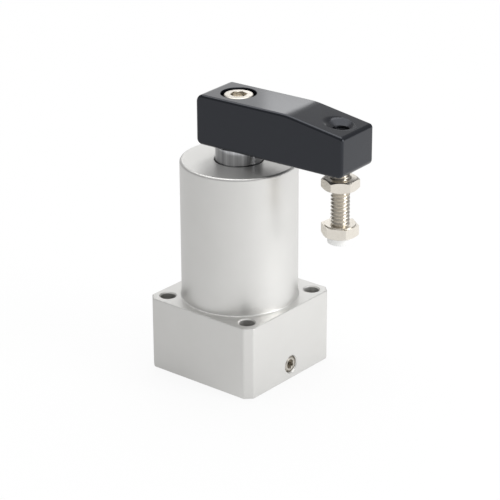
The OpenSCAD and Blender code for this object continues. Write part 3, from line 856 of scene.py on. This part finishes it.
def hex_block(name, low, high, both_ends):
    """Hexagon chamfered at its lower end, as a screw's head, or at both, as a nut."""
    far_r = HEX_FLATS / 2 / math.cos(math.pi / 6) + BREAK
    drop = (far_r - WASHER_R) * math.tan(HEX_CHAMFER)
    if both_ends:
        end = high + 2 * PAST
        top = [(far_r, high - drop), (WASHER_R, high), (0, high)]
    else:
        end = high
        top = [(far_r, high + PAST), (0, high + PAST)]
    blank = prism(name, hexagon(HEX_FLATS), low - PAST, end)
    dome = lathe("dome", [(0, low), (WASHER_R, low), (far_r, low + drop)] + top)
    return combine(blank, "INTERSECT", dome)


def hex_socket(name, flats, floor, face, flare):
    """Tool for a hexagon socket with a drilled floor and a flared mouth in a face."""
    half = flats / 2
    blank = prism(name, hexagon(flats), floor, face + PAST / 2)
    drilled = lathe("drilled", [
        (0, floor - DRILL_POINT * flats), (half, floor - TINY), (half, floor + TINY),
        (0, floor + TINY),
    ], SMALL_ROUND)
    mouth = lathe("mouth", [
        (0, face - flare), (half, face - flare), (half + flare + PAST, face + PAST),
        (0, face + PAST),
    ], SMALL_ROUND)
    return combine(blank, "UNION", drilled, mouth)


def make_arm_screw():
    piece = lathe("arm_screw", [
        (0, CAP_LOW), (SCREW_R - SCREW_CHAMFER, CAP_LOW), (SCREW_R, CAP_LOW + SCREW_CHAMFER),
        (SCREW_R, CAP_SEAT), (CAP_R - BREAK, CAP_SEAT), (CAP_R, CAP_SEAT + BREAK),
    ] + arc((CAP_R - CAP_EDGE, CAP_TOP - CAP_EDGE), CAP_EDGE, 0, 90) + [(0, CAP_TOP)])
    socket = hex_socket("socket", CAP_SOCKET, CAP_TOP - CAP_SOCKET_DEPTH, CAP_TOP, CAP_FLARE)
    combine(piece, "DIFFERENCE", moved(socket, CAP_TURN))
    moved(piece, ARM_ANGLE)
    stand_for(smooth(piece), "arm_screw", finish_of("arm_screw"))


def make_thrust_screw():
    """Inverted hexagon screw with a washer face, a rolled thread and a hole for the pad's stem."""
    face = HEAD_TOP - WASHER
    piece = moved(hex_block("thrust_screw", HEAD_LOW, face, both_ends=False), HEAD_TURN)
    washer = lathe("washer_face", [
        (0, face - PAST), (WASHER_R, face - PAST), (WASHER_R, HEAD_TOP - WASHER_EDGE),
        (WASHER_R - WASHER_EDGE, HEAD_TOP), (0, HEAD_TOP),
    ])
    length = SCREW_TIP - THREAD_START
    shank = thread("shank", THRUST_R, length, SCREW_CHAMFER, finish_of("thrust_screw"))
    combine(piece, "UNION", washer, moved(shank, place=(0, 0, THREAD_START)))
    hole = STEM_R + STEM_ROOM
    hole_top = PAD_TOP + STEM_ROOM
    stem_hole = lathe("stem_hole", [
        (0, HEAD_LOW - PAST), (hole, HEAD_LOW - PAST), (hole, hole_top), (0, hole_top),
    ], SMALL_ROUND)
    combine(piece, "DIFFERENCE", stem_hole)
    on_thrust_axis(piece)
    stand_for(smooth(piece, THREAD_SMOOTH_UP_TO), "thrust_screw", finish_of("thrust_screw"))


def make_lock_nut():
    piece = moved(hex_block("lock_nut", NUT_LOW, NUT_TOP, both_ends=True), NUT_TURN)
    hole = THRUST_R + THREAD_ROOM
    wide = hole + NUT_MOUTH + PAST
    nut_hole = lathe("nut_hole", [
        (0, NUT_LOW - PAST), (wide, NUT_LOW - PAST), (hole, NUT_LOW + NUT_MOUTH),
        (hole, NUT_TOP - NUT_MOUTH), (wide, NUT_TOP + PAST), (0, NUT_TOP + PAST),
    ], SMALL_ROUND)
    combine(piece, "DIFFERENCE", nut_hole)
    on_thrust_axis(piece)
    stand_for(smooth(piece), "lock_nut", finish_of("lock_nut"))


def make_pad():
    lower = arc((PAD_R - PAD_EDGE, PAD_LOW + PAD_EDGE), PAD_EDGE, 270, 360)
    upper = arc((PAD_R - PAD_TOP_EDGE, HEAD_LOW - PAD_TOP_EDGE), PAD_TOP_EDGE, 0, 90)
    stem = [
        (STEM_R, HEAD_LOW), (STEM_R, PAD_TOP - PAD_TOP_EDGE), (STEM_R - PAD_TOP_EDGE, PAD_TOP),
        (0, PAD_TOP),
    ]
    piece = lathe("pad", [(0, PAD_LOW)] + lower + upper + stem, SMALL_ROUND)
    on_thrust_axis(piece)
    stand_for(smooth(piece), "thrust_pad", finish_of("thrust_pad"))


def make_plug(node, side):
    low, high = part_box(node)
    inner, outer = sorted((abs(low.x), abs(high.x)))
    radius = (high.y - low.y) / 2
    piece = lathe("plug", [
        (0, inner), (radius - PLUG_EDGE, inner), (radius, inner + PLUG_EDGE),
        (radius, outer - PLUG_EDGE), (radius - PLUG_EDGE, outer), (0, outer),
    ], SMALL_ROUND)
    socket = hex_socket("socket", PLUG_SOCKET, outer - PLUG_SOCKET_DEPTH, outer, BREAK)
    combine(piece, "DIFFERENCE", socket)
    in_side_port(piece, side)
    stand_for(smooth(piece), node, PLUG_FINISH)


def dress_solids():
    """Gives every solid its finish, for those that no finished piece stands in for."""
    for node, solid in frame["nodes"].items():
        solid.data.materials.clear()
        solid.data.materials.append(finish_of(node))


# Stage, light and camera

WHITE = (1, 1, 1, 1)

# Floor as the camera sees it: the shadow's weight at the object, and the distance it fades over
FLOOR_HALF = 6.0
FLOOR_GAP = 0.02 * MM
FLOOR_GREY = (0.7, 0.7, 0.7, 1)
SHADOW_WEIGHT = 0.14
SHADOW_FADE = 0.3

# Floor in reflections: its glow, a painted brighter side towards the key lamp, and a painted shadow round the
# object
MIRRORED_SHARE = 0.75
MIRRORED_GLOW = 0.9
LIT_SIDE_GAIN = 0.26
LIT_SIDE = (0.966, 0.259, 0.0)
PAINTED_SHADOW_DARK = 0.3
PAINTED_SHADOW_FADE = 0.045

# Room: its light on matt surfaces, and its glow in reflections with a brighter patch behind
ROOM_LIGHT = 0.8
ROOM_GLOW = 0.37
PATCH_GLOW = 1.05
PATCH_FOCUS = 35
PATCH_WAY = (-0.613, 0.757, 0.225)

# Camera at the photograph's angle, with its focal length in pixels of the photograph's frame
AZIMUTH = math.radians(39.425)
ELEVATION = math.radians(22.876)
ROLL = math.radians(-0.243)
DISTANCE = 0.700293
AIM_HEIGHT = 0.041737
AIM_RIGHT = 0.003524
FOCAL_PX = 2054.82
FRAME_PX = 500
SENSOR_MM = 36


def ray_kinds(flow):
    """1 for rays from the camera, for reflections and for light through clear pieces, in turn."""
    names = ("Is Camera Ray", "Is Glossy Ray", "Is Transmission Ray")
    return [flow.node("ShaderNodeLightPath", output=name) for name in names]


def vector_math(flow, operation, output, *values):
    return flow.node(
        "ShaderNodeVectorMath", {"operation": operation}, dict(enumerate(values)), output,
    )


def floor_finish():
    """White to the camera, with the object's soft shadow, and clear from below. In reflections it glows, with
    painted light on the key lamp's side and a painted shadow round the object.
    """
    material = bpy.data.materials.new("white_floor")
    material.use_nodes = True
    tree = material.node_tree
    tree.nodes.clear()
    flow = Flow(tree)
    camera, glossy, through = ray_kinds(flow)
    place = flow.node("ShaderNodeTexCoord", output="Object")
    away = vector_math(flow, "LENGTH", "Value", place)
    outward = vector_math(flow, "NORMALIZE", "Vector", place)
    # Painted light and shadow: the glow in reflections is brighter on the key lamp's side and darker near the
    # object.
    lit = vector_math(flow, "DOT_PRODUCT", "Value", outward, LIT_SIDE)
    painted_shadow = 1 - PAINTED_SHADOW_DARK * flow.math("EXPONENT", away / -PAINTED_SHADOW_FADE)
    glow = (1 - glossy) + glossy * (MIRRORED_GLOW + LIT_SIDE_GAIN * lit) * painted_shadow
    shadow = SHADOW_WEIGHT * flow.math("EXPONENT", away / -SHADOW_FADE)
    share = (camera + through) * (1 - shadow) + glossy * MIRRORED_SHARE
    matt = flow.node("ShaderNodeBsdfDiffuse", sockets={"Color": FLOOR_GREY})
    white = flow.node("ShaderNodeEmission", sockets={"Color": WHITE, "Strength": glow})
    above = flow.node("ShaderNodeMixShader", sockets={"Fac": share, 1: matt, 2: white})
    is_below = flow.node("ShaderNodeNewGeometry", output="Backfacing")
    below = flow.node("ShaderNodeBsdfTransparent")
    sided = flow.node("ShaderNodeMixShader", sockets={"Fac": is_below, 1: above, 2: below})
    flow.node("ShaderNodeOutputMaterial", sockets={"Surface": sided})
    return material


def make_floor():
    bm = bmesh.new()
    corners = [(-1, -1), (1, -1), (1, 1), (-1, 1)]
    bm.faces.new([bm.verts.new((x * FLOOR_HALF, y * FLOOR_HALF, -FLOOR_GAP)) for x, y in corners])
    floor = to_object(bm, "floor")
    floor.data.materials.append(floor_finish())


def make_surroundings():
    """White to the camera, and a pale room in reflections, brighter behind the object."""
    world = bpy.data.worlds.new("studio")
    bpy.context.scene.world = world
    world.use_nodes = True
    world.node_tree.nodes.clear()
    flow = Flow(world.node_tree)
    camera, glossy, through = ray_kinds(flow)
    way = flow.node("ShaderNodeTexCoord", output="Generated")
    behind = flow.math("MAXIMUM", vector_math(flow, "DOT_PRODUCT", "Value", way, PATCH_WAY), 0)
    glow = ROOM_GLOW + PATCH_GLOW * flow.math("POWER", behind, PATCH_FOCUS)
    seen = camera + through
    tone = seen + glossy * glow + (1 - seen - glossy) * ROOM_LIGHT
    room = flow.node("ShaderNodeBackground", sockets={"Color": WHITE, "Strength": tone})
    flow.node("ShaderNodeOutputWorld", sockets={"Surface": room})


def softbox(name, place, aim, width, height, radiance):
    """Rectangular lamp at a place that faces a point of the object."""
    lamp = bpy.data.lights.new(name, "AREA")
    lamp.shape = "RECTANGLE"
    lamp.size = width
    lamp.size_y = height
    lamp.energy = radiance * math.pi * width * height
    holder = bpy.data.objects.new(name, lamp)
    bpy.context.scene.collection.objects.link(holder)
    place = Vector(place)
    turn = (place - Vector(aim)).to_track_quat("Z", "Y").to_matrix().to_4x4()
    holder.matrix_world = Matrix.Translation(place) @ turn


def make_light():
    """Wide lamp overhead, key lamp on the right, and a small one for the sheen on the arm's top."""
    softbox(
        "overhead", place=(-0.18, 0.24, 1.0), aim=(-0.18, 0.24, 0.0),
        width=1.15, height=1.1, radiance=1.95,
    )
    softbox(
        "key_right", place=(0.68, 0.18, 0.27), aim=(0, 0, ARM_TOP / 2),
        width=0.35, height=0.45, radiance=5.6,
    )
    softbox(
        "arm_strip", place=(-0.167, 0.251, 0.217), aim=(0.015, 0.001, ARM_TOP),
        width=0.04, height=0.04, radiance=1.25,
    )


def make_camera():
    level = math.cos(ELEVATION)
    back = Vector((math.sin(AZIMUTH) * level, -math.cos(AZIMUTH) * level, math.sin(ELEVATION)))
    right = Vector((math.cos(AZIMUTH), math.sin(AZIMUTH), 0))
    up = back.cross(right)
    across = right * math.cos(ROLL) + up * math.sin(ROLL)
    upward = back.cross(across)
    target = Vector((0, 0, AIM_HEIGHT)) + right * AIM_RIGHT
    lens = bpy.data.cameras.new("camera")
    lens.sensor_width = SENSOR_MM
    lens.lens = SENSOR_MM * FOCAL_PX / FRAME_PX
    holder = bpy.data.objects.new("camera", lens)
    bpy.context.scene.collection.objects.link(holder)
    turn = Matrix((across, upward, back)).transposed().to_4x4()
    holder.matrix_world = Matrix.Translation(target + back * DISTANCE) @ turn
    bpy.context.scene.camera = holder


bpy.context.scene.view_settings.view_transform = "Standard"
make_camera()
make_floor()
make_surroundings()
make_light()
dress_solids()
make_housing()
make_arm()
make_arm_screw()
make_thrust_screw()
make_lock_nut()
make_pad()
make_plug("port_plug_front", side=1)
make_plug("port_plug_rear", side=-1)
